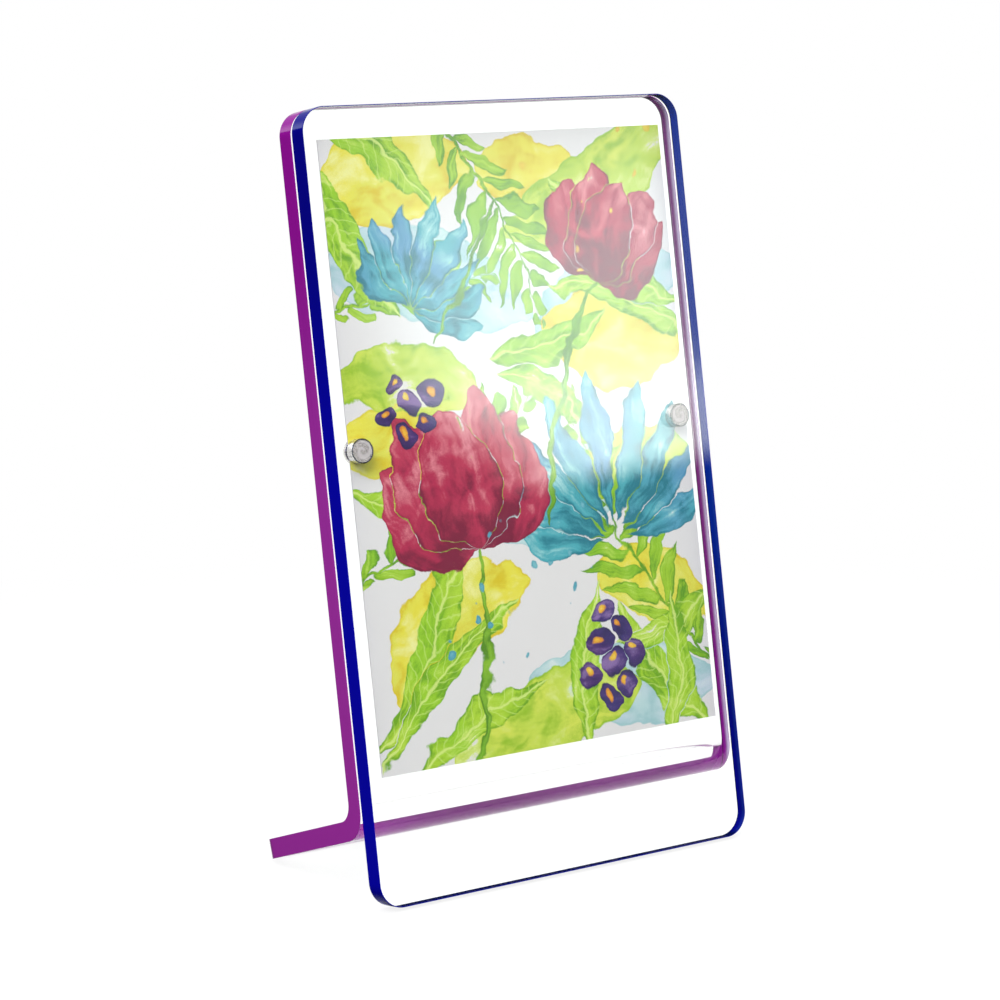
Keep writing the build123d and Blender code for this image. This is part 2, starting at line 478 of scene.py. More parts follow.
def piece(name, bm, materials, body, node):
    """Turns slope millimetres into a finished object in the room that stands for the CAD node."""
    bmesh.ops.remove_doubles(bm, verts=bm.verts[:], dist=SAME_PLACE)
    bmesh.ops.recalc_face_normals(bm, faces=bm.faces[:])
    bmesh.ops.transform(bm, matrix=slope_from_mm, verts=bm.verts[:])
    mesh = bpy.data.meshes.new(name)
    bm.to_mesh(mesh)
    bm.free()
    mesh.shade_smooth()
    mesh.set_sharp_from_angle(angle=sharp_from)
    for material in materials:
        mesh.materials.append(material)
    obj = bpy.data.objects.new(name, mesh)
    scene.collection.objects.link(obj)
    obj.modifiers.new("flat faces lead", "WEIGHTED_NORMAL").keep_sharp = True
    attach(obj, body)
    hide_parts(node)
    print(name, "has", len(mesh.polygons), "faces")


def slope_point(tree):
    """Object coordinates turned into slope millimetres: X across, Y up the slope, Z out of the face."""
    return add(tree, "Mapping", add(tree, "TexCoord", out="Object"), foot_of_face,
               slope.to_euler(), (MM, MM, MM), vector_type="TEXTURE")


# %% [markdown]
# ## Cast acrylic
# Cast acrylic is poured between sheets of glass, so its faces are mirror smooth and it is
# clearer than window glass. It bends light by 1.49 and has almost no colour. The eye gets
# a sharp reflection from each face and nothing from the inside. A faint bloom of dust
# static and wiping marks roughens the polish by a trace. Light that only passes through on
# its way to the print or the table goes straight, because the renderer would otherwise
# lose it, and it is dimmed by what the faces would have sent back.

# %% Cast acrylic
acrylic, tree = new_material("cast acrylic")
where = slope_point(tree)
wiped = add(tree, "Mapping", where, None, (0, 0, radians(28)), (0.02, 0.25, 0.02))
wiping = add(tree, "TexNoise", {"Vector": wiped, "Scale": 1.0, "Detail": 3.0, "Roughness": 0.6})
polish = add(tree, "MapRange", wiping, 0.5, 0.8, 0.0, 0.006)
solid = add(tree, "BsdfPrincipled", {"Base Color": colour("#FEFFFE"), "Roughness": polish, "IOR": 1.49,
                                     "Transmission Weight": 1.0})
passing = add(tree, "BsdfTransparent", colour("#F5F8F7"))
path = add(tree, "LightPath", out=None)
unseen = add(tree, "Math", path.outputs["Is Shadow Ray"], path.outputs["Is Diffuse Ray"], operation="MAXIMUM")
show(tree, add(tree, "MixShader", unseen, solid, passing))
print("cast acrylic:", len(tree.nodes), "nodes")

# %% The front panel
glue_face = front_skin + glue_thickness
bm = clear_sheet(0, panel_height, -sheet, 0, -glue_face - hugging)
piece("front_clear_sheet", bm, [acrylic], "front", "front_panel")

# %% The bent back panel
back_glue_face = back_front - magnet_proud + back_magnet_length
bm = clear_sheet(foot_tip, panel_height, -back_front, -back_rear, -back_glue_face + hugging)
fold_foot(bm)
piece("back_clear_sheet", bm, [acrylic], "back_stand", "back_panel")

# %% [markdown]
# ## Painted edges
# The cut edges carry an opaque coat, 0.2 mm thick, sprayed while the panels were stacked,
# so it stops sharply at the faces. The outline is inset by the thickness of the coat to
# leave a narrow ring, and the ring is extruded through the sheet. Its arrises are rounded
# a little, as paint draws back from a corner, and its rims stand a hundredth of a
# millimetre below the faces.

# %% A coat round a sheet's edge
rim_step = 0.01
soft_arris = 0.06


def is_level(edge):
    """Whether an edge lies across the depth of a sheet or magnet and not along it."""
    return abs(edge.verts[0].co.z - edge.verts[1].co.z) < SAME_PLACE


def is_outer(part, low, high):
    """Whether an edge or a face lies on the ring's outer outline and not on its inner one."""
    for vert in part.verts:
        x = max(abs(vert.co.x) - (panel_width / 2 - corner_radius), 0)
        y = max(low + corner_radius - vert.co.y, vert.co.y - (high - corner_radius), 0)
        if (x * x + y * y) ** 0.5 < corner_radius - edge_coat / 2:
            return False
    return True


def edge_coat_ring(low, high, near, far):
    """A thin closed ring of paint round the panel's edge, between two depths."""
    bm = panel_outline(low, high, 0)
    bmesh.ops.inset_region(bm, faces=bm.faces[:], thickness=edge_coat, use_even_offset=True,
                           use_boundary=True)
    middle = [face for face in bm.faces if len(face.verts) > 4]
    bmesh.ops.delete(bm, geom=middle, context="FACES")
    for vert in bm.verts:
        vert.co.z = -near - rim_step
    move(bmesh.ops.extrude_face_region(bm, geom=bm.faces[:]), -far + rim_step)
    bmesh.ops.recalc_face_normals(bm, faces=bm.faces[:])
    for face in bm.faces:
        if abs(face.normal.z) < 0.5 and not is_outer(face, low, high):
            face.material_index = 1
    arrises = [edge for edge in bm.edges if is_outer(edge, low, high) and is_level(edge)]
    bmesh.ops.bevel(bm, geom=arrises, offset=soft_arris, offset_type="OFFSET", segments=2, profile=0.5,
                    affect="EDGES", material=-1)
    return bm


print(f"coat {edge_coat} mm thick, its arrises rounded by {soft_arris} mm")

# %% [markdown]
# The colours are deep and even: a dense blue on the front panel, a magenta on the back.
# Lacquer on a sawn and sanded edge lies in faint lengthwise streaks, and its colour is
# painted lighter low down, as painted light from the white table. Outside it has a soft
# gloss, so its rounded corners catch the lit strip of wall and the ceiling.

# %% Edge lacquer from outside
waver = 24.0


def coat_colour_with_painted_light(tree, where, painted_light_top, painted_light_low, low, high):
    """The coat's colour, which passes up the slope from one painted light level to another, and its streaks.
    """
    # Streaks a third of a millimetre wide and 50 mm long.
    drawn_out = add(tree, "Mapping", where, None, None, (0.02, 0.02, 3.0))
    streaks = add(tree, "TexNoise", {"Vector": drawn_out, "Scale": 1.0, "Detail": 3.0, "Roughness": 0.55})
    up = add(tree, "VectorMath", where, (0, 1, 0), operation="DOT_PRODUCT", out="Value")
    wavering = add(tree, "Math", streaks, waver, up, operation="MULTIPLY_ADD")
    share = add(tree, "MapRange", wavering, low + waver / 2, high + waver / 2, 1.0, 0.0, **SMOOTH)
    # Painted light: the colour is lighter or darker with height, as the light on the coat is.
    shade = add(tree, "Mix", {0: share, 6: colour(painted_light_top), 7: colour(painted_light_low)}, **COLOUR_MIX)
    return shade, streaks, up


def edge_lacquer(name, painted_light_top, painted_light_low, sheen, at_foot=1.0):
    """The coat's outside: opaque coloured lacquer with a soft coloured gloss, duller near the table."""
    material, tree = new_material(name)
    shade, streaks, up = coat_colour_with_painted_light(tree, slope_point(tree), painted_light_top, painted_light_low, 100, 165)
    gloss = add(tree, "MapRange", streaks, 0.3, 0.7, 0.05, 0.11)
    ripple = add(tree, "Bump", {"Strength": 0.03, "Distance": 0.00005, "Height": streaks})
    sheen_level = add(tree, "MapRange", up, 1.0, 14.0, 0.5 * at_foot, 0.5, **SMOOTH)
    show(tree, add(tree, "BsdfPrincipled", {
        "Base Color": shade, "Roughness": gloss, "IOR": 1.42, "Normal": ripple,
        "Specular Tint": colour(sheen), "Specular IOR Level": sheen_level}))
    print(name + ":", len(tree.nodes), "nodes")
    return material


blue_lacquer = edge_lacquer("deep blue edge lacquer", "#05037F", "#0503A2", "#6A92FF", at_foot=0.1)
magenta_lacquer = edge_lacquer("magenta edge lacquer", "#89108D", "#9B2F9C", "#FFB4EC")

# %% [markdown]
# From the front the eye meets the same coat through the clear sheet. There the lacquer
# wets the acrylic and has no gloss of its own. It pales towards the front, where the light
# of the gap reaches it, and painted shade darkens it over the rear arris and along the
# sheet's two ends. Seen almost edge-on, it mirrors the inside of the sheet.

# %% Edge lacquer through the sheet
RIM_PAINTED_SHADE = 0.8
FACING_IOR = 0.5


def wetted_lacquer(name, painted_light_top, painted_light_low, dark, rear, front, pale, palest, at_foot=1.0):
    """The coat's inside, seen through the sheet that it wets, between the sheet's rear and front depths."""
    material, tree = new_material(name)
    where = slope_point(tree)
    shade, _, up = coat_colour_with_painted_light(tree, where, painted_light_top, painted_light_low, 20, 110)
    depth = add(tree, "VectorMath", where, (0, 0, 1), operation="DOT_PRODUCT", out="Value")
    paling = add(tree, "MapRange", depth, rear + 1.9, front, 0.0, palest, **SMOOTH)
    shade = add(tree, "Mix", {0: paling, 6: shade, 7: colour(pale)}, **COLOUR_MIX)

    # Painted shade: darker over the rear arris and along the sheet's two ends.
    off_rim = add(tree, "Math", depth, rear + 0.15, operation="SUBTRACT")
    off_rim = add(tree, "Math", off_rim, operation="ABSOLUTE")
    painted_dark_rim = add(tree, "MapRange", off_rim, 0.25, 0.6, RIM_PAINTED_SHADE, 0.0, **SMOOTH)
    half = panel_height / 2
    from_middle = add(tree, "Math", add(tree, "Math", up, half, operation="SUBTRACT"), operation="ABSOLUTE")
    painted_end_shade = add(tree, "MapRange", from_middle, half - 1.5, half - 0.4, 0.0, 1.0, **SMOOTH)
    painted_shade = add(tree, "Math", painted_dark_rim, painted_end_shade, operation="MAXIMUM")
    shade = add(tree, "Mix", {0: painted_shade, 6: shade, 7: colour(dark)}, **COLOUR_MIX)

    edge_on = add(tree, "MapRange", add(tree, "LayerWeight", FACING_IOR, out="Facing"), 0.875, 0.96, 0.0, 0.6)
    clear_of_foot = add(tree, "MapRange", up, 20.0, 60.0, at_foot, 1.0, **SMOOTH)
    mirroring = add(tree, "Math", edge_on, clear_of_foot, operation="MULTIPLY")
    mirror = add(tree, "BsdfAnisotropic", {"Color": colour("#FFFFFF"), "Roughness": 0.05})
    show(tree, add(tree, "MixShader", mirroring, add(tree, "BsdfDiffuse", shade), mirror))
    print(name + ":", len(tree.nodes), "nodes")
    return material


blue_inside = wetted_lacquer("deep blue lacquer on acrylic", "#062A9C", "#04067C", "#02083C", -sheet, 0.0,
                             "#2C4CA8", 0.25, at_foot=0.15)
magenta_inside = wetted_lacquer("magenta lacquer on acrylic", "#8E3A88", "#931F96", "#4A104A", -back_rear,
                                -back_front, "#DCCAEE", 0.92)

# %% The two coats
bm = edge_coat_ring(0, panel_height, 0, sheet)
piece("front_blue_edge", bm, [blue_lacquer, blue_inside], "front", "front_edge_paint")

bm = edge_coat_ring(foot_tip, panel_height, back_front, back_rear)
fold_foot(bm)
piece("back_magenta_edge", bm, [magenta_lacquer, magenta_inside], "back_stand", "back_edge_paint")

# %% [markdown]
# ## Magnets and their glue
# The magnets are discs and rods of sintered neodymium, tumbled so that their rims are
# round, and plated with nickel. The plating is pale and even on the flat ends and streaked
# along the walls, and a dark line of painted reflection runs round the rim between them.

# %% Nickel plating
def round_the_magnet(tree):
    """Slope millimetres measured from the axis of the nearer magnet, and the distance from that axis."""
    where = slope_point(tree)
    folded = add(tree, "VectorMath", where, operation="ABSOLUTE")
    about = add(tree, "VectorMath", folded, (magnet_spots[1][0], magnet_height, 0), operation="SUBTRACT")
    flat = add(tree, "VectorMath", about, (1, 1, 0), operation="MULTIPLY")
    return where, flat, add(tree, "VectorMath", flat, operation="LENGTH", out="Value")


nickel, tree = new_material("nickel plating")
where, _, off_axis = round_the_magnet(tree)
grain = add(tree, "TexNoise", {"Vector": where, "Scale": 1.3, "Detail": 4.0, "Roughness": 0.6})
drawn_out = add(tree, "Mapping", where, None, None, (2.2, 2.2, 0.25))
drawn = add(tree, "TexNoise", {"Vector": drawn_out, "Scale": 1.0, "Detail": 3.0})
tumbled = add(tree, "TexVoronoi", {"Vector": where, "Scale": 2.2}, out="Distance")
tone = add(tree, "Mix", {0: grain, 6: colour("#BDBAB8"), 7: colour("#E4E1DE")}, **COLOUR_MIX)
streaked = add(tree, "MapRange", drawn, 0.5, 0.68, 0.0, 0.7, **SMOOTH)
tone = add(tree, "Mix", {0: streaked, 6: tone, 7: colour("#77747A")}, **COLOUR_MIX)
on_wall = add(tree, "MapRange", off_axis, magnet_radius - 0.5, magnet_radius - 0.25, 0.0, 1.0, **SMOOTH)
tone = add(tree, "Mix", {0: on_wall, 6: colour("#DFD8DA"), 7: tone}, **COLOUR_MIX)
# Painted dark reflection: a dark line round the rounded rim of each magnet.
off_rim = add(tree, "Math", off_axis, magnet_radius - 0.18, operation="SUBTRACT")
off_rim = add(tree, "Math", off_rim, operation="ABSOLUTE")
painted_dark_rim = add(tree, "MapRange", off_rim, 0.07, 0.16, 1.0, 0.0, **SMOOTH)
tone = add(tree, "Mix", {0: painted_dark_rim, 6: tone, 7: colour("#3C3F55")}, **COLOUR_MIX)
gloss = add(tree, "MapRange", grain, 0.3, 0.7, 0.2, 0.34)
peel = add(tree, "Bump", {"Strength": 0.25, "Distance": 0.00004, "Height": tumbled})
show(tree, add(tree, "BsdfPrincipled", {"Base Color": tone, "Metallic": 1.0, "Roughness": gloss,
                                        "Normal": peel}))
print("nickel plating:", len(tree.nodes), "nodes")

# %% [markdown]
# A magnet starts as a capped cone of equal radii, which is what Blender calls a cylinder,
# and its two rims are bevelled.

# %% The four magnets
soft_rim = 0.35


def magnet(x, y, near, length):
    """A round magnet with its nearer end at a depth, and soft rims."""
    bm = bmesh.new()
    bmesh.ops.create_cone(bm, cap_ends=True, segments=ROUND_STEPS, radius1=magnet_radius,
                          radius2=magnet_radius, depth=length,
                          matrix=Matrix.Translation((x, y, -near - length / 2)))
    rims = [edge for edge in bm.edges if is_level(edge)]
    bmesh.ops.bevel(bm, geom=rims, offset=soft_rim, offset_type="OFFSET", segments=4, profile=0.5,
                    affect="EDGES", material=-1)
    return bm


for side, (x, y) in zip(("left", "right"), magnet_spots):
    bm = magnet(x, y, glue_face, front_magnet_length)
    piece(f"front_rod_magnet_{side}", bm, [nickel], "front", f"front_magnet_{side}")
    bm = magnet(x, y, back_front - magnet_proud, back_magnet_length)
    piece(f"back_disc_magnet_{side}", bm, [nickel], "back_stand", f"back_magnet_{side}")

# %% [markdown]
# Clear adhesive fills the last quarter of a millimetre between each magnet and the floor
# of its pocket. It bends light as the acrylic does, so its own faces vanish. What the eye
# sees is the milky haze and the swirl that the drop left as it was pressed flat. The CAD
# discs have the right shape and stay, so only their material is new.

# %% Cured clear adhesive
adhesive, tree = new_material("cured clear adhesive")
where, flat, off_axis = round_the_magnet(tree)
stir = add(tree, "TexNoise", {"Vector": where, "Scale": 0.5, "Detail": 2.0})
about = add(tree, "TexGradient", add(tree, "Mapping", flat, (0.2, -0.1, 0)), gradient_type="RADIAL")
curl = add(tree, "Math", about, 2 * pi, operation="MULTIPLY")
curl = add(tree, "Math", off_axis, 2.6, curl, operation="MULTIPLY_ADD")
curl = add(tree, "Math", stir, 5.0, curl, operation="MULTIPLY_ADD")
swirl = add(tree, "MapRange", add(tree, "Math", curl, operation="SINE"), -0.6, 1.0, 0.2, 0.55, **SMOOTH)
drop = add(tree, "MapRange", off_axis, magnet_radius - 0.7, magnet_radius - 0.3, 1.0, 0.0, **SMOOTH)
milk = add(tree, "Math", swirl, drop, operation="MULTIPLY")
haze = add(tree, "BsdfDiffuse", colour("#E2DADD"))
clear = add(tree, "BsdfTransparent", colour("#F4F4F2"))
show(tree, add(tree, "MixShader", milk, clear, haze))
for name, node in frame["nodes"].items():
    if "glue" in name:
        node.data.materials.clear()
        node.data.materials.append(adhesive)
print("adhesive discs:", sum("glue" in name for name in frame["nodes"]))

# %% [markdown]
# ## The printed card
# A 4 x 6 inch card lies between the panels. Its front carries a bright watercolour of
# leaves, tulips and berries, and its back is bare paper. Nothing is read from a file: the
# picture is drawn by the material's nodes, in card millimetres with the origin in the
# card's middle, so it stays sharp at any size. The motifs are simple forms with a known
# distance to their edge, and paint is laid over them in layers, as a painter would.
#
# One node group draws one brush mark. It turns a point of the card into the mark's own
# directions, along and across the stroke, bows the stroke, and gives its outline a width
# that swells and tapers. It returns how far inside the outline the point lies, then its
# place along and across the stroke, which the brush's bristles need later. The place along
# starts at a new hundred for each mark, so no two marks have the same bristles.

# %% Node group for one brush mark
NUMBER_STEP = 100.0


def new_group(name, inputs):
    """A shader node group with float inputs, after a vector called Point, and one vector output."""
    tree = bpy.data.node_groups.new(name, "ShaderNodeTree")
    tree.interface.new_socket(name="Point", in_out="INPUT", socket_type="NodeSocketVector")
    for label in inputs:
        kind = "NodeSocketVector" if label in ("Base", "Along", "Across") else "NodeSocketFloat"
        tree.interface.new_socket(name=label, in_out="INPUT", socket_type=kind)
    tree.interface.new_socket(name="Mark", in_out="OUTPUT", socket_type="NodeSocketVector")
    given = tree.nodes.new("NodeGroupInput").outputs
    return tree, given, tree.nodes.new("NodeGroupOutput").inputs["Mark"]


def local_frame(tree, given):
    """Position along and across a stroke, its share of the length, and how far past an end it is."""
    away = add(tree, "VectorMath", given["Point"], given["Base"], operation="SUBTRACT")
    x = add(tree, "VectorMath", away, given["Along"], operation="DOT_PRODUCT", out="Value")
    y = add(tree, "VectorMath", away, given["Across"], operation="DOT_PRODUCT", out="Value")
    share = add(tree, "Clamp", add(tree, "Math", x, given["Length"], operation="DIVIDE"))
    on_stroke = add(tree, "Math", share, given["Length"], operation="MULTIPLY")
    past = add(tree, "Math", add(tree, "Math", x, on_stroke, operation="SUBTRACT"), operation="ABSOLUTE")
    hump = add(tree, "Math", share, add(tree, "Math", 1.0, share, operation="SUBTRACT"), operation="MULTIPLY")
    bowed = add(tree, "Math", hump, given["Bow"], operation="MULTIPLY")
    return x, add(tree, "Math", y, bowed, operation="SUBTRACT"), share, past


brush_mark, given, mark_out = new_group("brush mark", ["Base", "Along", "Across", "Length", "Half Width",
                                                       "Bow", "Belly", "Blunt", "Number"])
x, y, share, past = local_frame(brush_mark, given)
swell = add(brush_mark, "Math", share, given["Belly"], operation="POWER")
swell = add(brush_mark, "Math", add(brush_mark, "Math", swell, pi, operation="MULTIPLY"), operation="SINE")
swell = add(brush_mark, "Math", swell, given["Blunt"], operation="POWER")
half_width = add(brush_mark, "Math", swell, given["Half Width"], operation="MULTIPLY")
off_line = add(brush_mark, "Math", add(brush_mark, "Math", y, operation="ABSOLUTE"), past, operation="ADD")
inside = add(brush_mark, "Math", half_width, off_line, operation="SUBTRACT")
along = add(brush_mark, "Math", given["Number"], NUMBER_STEP, x, operation="MULTIPLY_ADD")
brush_mark.links.new(add(brush_mark, "CombineXYZ", inside, along, y), mark_out)
print("brush mark:", len(brush_mark.nodes), "nodes")

# %% [markdown]
# A frond is a rib with many leaflets, so it would cost dozens of brush marks. A second
# group draws a whole frond at once: the place along the rib is cut into equal cells, one
# leaflet to a cell, and slanting the cells with the distance from the rib makes the
# leaflets lean towards the tip.

# %% Node group for a frond
frond, given, mark_out = new_group("frond", ["Base", "Along", "Across", "Length", "Half Width", "Bow",
                                             "Pitch", "Slant", "Fill", "Number"])
x, y, share, past = local_frame(frond, given)
reach = add(frond, "Math", y, operation="ABSOLUTE")
slanted = add(frond, "Math", reach, given["Slant"], operation="MULTIPLY")
leaning = add(frond, "Math", slanted, x, operation="SUBTRACT")
side_shift = add(frond, "Math", add(frond, "Math", y, operation="SIGN"), 0.25, operation="MULTIPLY")
cells = add(frond, "Math", leaning, given["Pitch"], operation="DIVIDE")
cells = add(frond, "Math", cells, side_shift, operation="ADD")
cell = add(frond, "Math", cells, operation="FLOOR")
middle = add(frond, "Math", cells, cell, operation="SUBTRACT")
middle = add(frond, "Math", middle, 0.5, operation="SUBTRACT")

root = add(frond, "Math", leaning, -1.0, operation="MULTIPLY")
root = add(frond, "Clamp", add(frond, "Math", root, given["Length"], operation="DIVIDE"))
envelope = add(frond, "Math", add(frond, "Math", root, 0.75, operation="POWER"), pi, operation="MULTIPLY")
envelope = add(frond, "Math", envelope, operation="SINE")
ragged = add(frond, "TexWhiteNoise", {"W": cell}, noise_dimensions="1D", out="Value")
ragged = add(frond, "Math", ragged, 0.35, 0.75, operation="MULTIPLY_ADD")
leaflet = add(frond, "Math", envelope, given["Half Width"], operation="MULTIPLY")
leaflet = add(frond, "Math", ragged, leaflet, operation="MULTIPLY")

out_share = add(frond, "Math", leaflet, 0.01, operation="MAXIMUM")
out_share = add(frond, "Clamp", add(frond, "Math", reach, out_share, operation="DIVIDE"))
plump = add(frond, "Math", add(frond, "Math", out_share, 0.8, operation="POWER"), pi, operation="MULTIPLY")
plump = add(frond, "Math", add(frond, "Math", plump, operation="SINE"), given["Fill"], operation="MULTIPLY")
half = add(frond, "Math", plump, add(frond, "Math", middle, operation="ABSOLUTE"), operation="SUBTRACT")
blade = add(frond, "Math", half, given["Pitch"], operation="MULTIPLY")
past_leaflet = add(frond, "Math", add(frond, "Math", reach, leaflet, operation="SUBTRACT"), 0.0,
                   operation="MAXIMUM")
blade = add(frond, "Math", blade, past_leaflet, operation="SUBTRACT")
rib = add(frond, "Math", add(frond, "Math", share, -0.45, 0.7, operation="MULTIPLY_ADD"),
          add(frond, "Math", reach, past, operation="ADD"), operation="SUBTRACT")
inside = add(frond, "Math", blade, rib, operation="MAXIMUM")
along = add(frond, "Math", cell, given["Number"], operation="ADD")
along = add(frond, "Math", along, NUMBER_STEP, reach, operation="MULTIPLY_ADD")
across_leaflet = add(frond, "Math", middle, given["Pitch"], operation="MULTIPLY")
frond.links.new(add(frond, "CombineXYZ", inside, along, across_leaflet), mark_out)
print("frond:", len(frond.nodes), "nodes")

# %% [markdown]
# Marks of one colour are gathered into a layer. Where a new mark covers an older one, the
# newer mark's own edge and bristles win, so overlapping petals keep an outline each.

# %% Gathering marks
card, tree = new_material("satin photo paper")
card_middle = (print_shift, print_top - print_height / 2, 0)
card_point = add(tree, "VectorMath", slope_point(tree), card_middle, operation="SUBTRACT")
slow = add(tree, "TexNoise", {"Vector": card_point, "Scale": 0.09, "Detail": 2.0}, out="Color")
quick = add(tree, "TexNoise", {"Vector": card_point, "Scale": 0.55, "Detail": 3.0, "Roughness": 0.6},
            out="Color")
hand = card_point
for noise, sway in ((slow, 9.0), (quick, 1.1)):
    off_centre = add(tree, "VectorMath", noise, (0.5, 0.5, 0.5), operation="SUBTRACT")
    hand = add(tree, "VectorMath", off_centre, (sway, sway, 0), hand, operation="MULTIPLY_ADD")


def over(below, mark):
    """A mark laid over those below it."""
    if below is None:
        return mark
    mark_inside = add(tree, "VectorMath", mark, (1, 0, 0), operation="DOT_PRODUCT", out="Value")
    covers = add(tree, "Math", mark_inside, 0.0, operation="GREATER_THAN")
    return add(tree, "Mix", {0: covers, 4: below, 5: mark}, out=1, data_type="VECTOR")


def marks(rows, group=brush_mark):
    """A layer of marks, each given by x, y, direction in degrees, length, half width, bow and its shape."""
    layer = None
    for number, (x, y, direction, *sizes) in enumerate(rows):
        c, s = cos(radians(direction)), sin(radians(direction))
        layer = over(layer, add(tree, "Group", hand, (x, y, 0), (c, s, 0), (-s, c, 0), *sizes, float(number),
                                node_tree=group))
    return layer


print(f"card {print_width} x {print_height} mm, its middle at {card_middle}")

# %% [markdown]
# Watercolour has a look of its own. Pigment is carried to the edge as the paint dries and
# leaves a darker rim, it pools in clouds, it settles in the paper's grain, and a drying
# brush leaves streaks and lets the paper through. One function lays such a paint over
# whatever is there. All layers share the cloud and the grain, as on one sheet of paper.

# %% Laying paint
edge_darkening, paper_left = -0.34, 0.12
cloud = add(tree, "TexNoise", {"Vector": card_point, "Scale": 0.11, "Detail": 3.0, "Distortion": 0.8})
grain = add(tree, "TexNoise", {"Vector": card_point, "Scale": 2.4, "Detail": 3.0, "Roughness": 0.7})
drift = add(tree, "MapRange", add(tree, "TexNoise", {"Vector": card_point, "Scale": 0.055, "Detail": 1.0}),
            0.42, 0.6, 0.0, 1.0)


def paint(under, layer, deep, mid, other, light, bristle=0.55, dry=0.0, pool=0.0, vein=None, seed=0.0,
          cover=1.0):
    """Watercolour in three strengths over the colour under it, where the layer's marks are."""
    inside, along, across_mark = add(tree, "SeparateXYZ", layer, out=None).outputs
    wet = add(tree, "MapRange", inside, 0.0, 0.35, 0.0, cover, **SMOOTH)
    hairs = add(tree, "CombineXYZ", add(tree, "Math", along, 0.045, operation="MULTIPLY"),
                add(tree, "Math", across_mark, bristle, operation="MULTIPLY"), seed)
    streak = add(tree, "TexNoise", {"Vector": hairs, "Scale": 1.0, "Detail": 2.0, "Roughness": 0.6})
    load = add(tree, "Math", streak, 1.2, -0.8, operation="MULTIPLY_ADD")
    load = add(tree, "Math", cloud, 1.7, load, operation="MULTIPLY_ADD")
    load = add(tree, "Math", grain, 0.35, load, operation="MULTIPLY_ADD")
    off_edge = add(tree, "MapRange", inside, 0.1, 1.1, 0.0, edge_darkening, **SMOOTH)
    load = add(tree, "Math", load, off_edge, operation="ADD")
    if pool:
        from_base = add(tree, "Math", along, 20.0, operation="ADD")
        from_base = add(tree, "Math", from_base, NUMBER_STEP, operation="MODULO")
        pooled = add(tree, "MapRange", from_base, 20.0, 48.0, pool, -0.3 * pool, **SMOOTH)
        load = add(tree, "Math", load, pooled, operation="ADD")

    pale_to_mid = add(tree, "MapRange", load, 0.0, 0.5, 0.0, 1.0, **SMOOTH)
    mid_to_deep = add(tree, "MapRange", load, 0.45, 0.95, 0.0, 1.0, **SMOOTH)
    tone = add(tree, "Mix", {0: drift, 6: colour(mid), 7: colour(other)}, **COLOUR_MIX)
    tone = add(tree, "Mix", {0: pale_to_mid, 6: colour(light), 7: tone}, **COLOUR_MIX)
    tone = add(tree, "Mix", {0: mid_to_deep, 6: tone, 7: colour(deep)}, **COLOUR_MIX)
    if vein:
        off_rib = add(tree, "Math", across_mark, operation="ABSOLUTE")
        slanted = add(tree, "Math", off_rib, -1.1, along, operation="MULTIPLY_ADD")
        wave = add(tree, "Math", add(tree, "Math", slanted, 1.9, operation="MULTIPLY"), operation="SINE")
        side_veins = add(tree, "MapRange", wave, 0.8, 1.0, 0.0, 0.4, **SMOOTH)
        midrib = add(tree, "MapRange", off_rib, 0.15, 0.5, 0.8, 0.0, **SMOOTH)
        veins = add(tree, "Math", midrib, side_veins, operation="MAXIMUM")
        tone = add(tree, "Mix", {0: veins, 6: tone, 7: colour(vein)}, **COLOUR_MIX)
    if dry:
        covered = add(tree, "MapRange", load, dry - 0.14, dry, paper_left, 1.0, **SMOOTH)
        wet = add(tree, "Math", wet, covered, operation="MULTIPLY")
    return add(tree, "Mix", {0: wet, 6: under, 7: tone}, **COLOUR_MIX)


print("paper, cloud and grain:", len(tree.nodes), "nodes")

# %% [markdown]
# The painting is built from the back. Pale aqua, yellow and lime washes come first, then
# fronds and long blades, a teal fan palm, crimson tulips on their stems, sprigs of purple
# berries, and last the spatter that a loaded brush leaves.

# %% Washes
painting = add(tree, "Mix", {0: grain, 6: colour("#E8E1E3"), 7: colour("#F4EDEF")}, **COLOUR_MIX)
painting = paint(painting, marks([
    (-54, 46, -14, 62, 12, 14, 0.9, 0.6), (54, 40, 196, 50, 10, -14, 0.9, 0.6),
    (-14, -22, 20, 58, 10, -10, 0.9, 0.6), (54, -66, 172, 60, 10, 10, 0.9, 0.6)]),
    "#8CC4CC", "#B4DADD", "#C8D8E8", "#DCEBEC", bristle=0.2, seed=12.0, cover=0.8)
painting = paint(painting, marks([
    (-52, 62, 8, 44, 13, 10, 0.8, 0.6), (8, 30, -12, 46, 12, -12, 1.0, 0.6),
    (-46, -58, 30, 50, 12, 18, 0.9, 0.6), (18, -34, -25, 38, 10, 8, 0.9, 0.6),
    (-8, 66, -3, 34, 9, 6, 1.0, 0.5), (-54, 4, -10, 34, 9, 8, 1.0, 0.6)]),
    "#E2C626", "#F0E248", "#E9E35A", "#F8F2A0", bristle=0.2, seed=1.0)
painting = paint(painting, marks([
    (52, 76, 205, 60, 10, 16, 0.8, 0.6), (-52, 18, -8, 40, 9, 12, 0.9, 0.6),
    (52, -8, 190, 42, 9, -14, 0.9, 0.6), (-30, -76, 12, 60, 10, 8, 1.0, 0.5)]),
    "#9CC42C", "#C6DC4C", "#DCE458", "#E8F09C", bristle=0.25, dry=0.2, seed=2.0)
print("with the washes:", len(tree.nodes), "nodes")

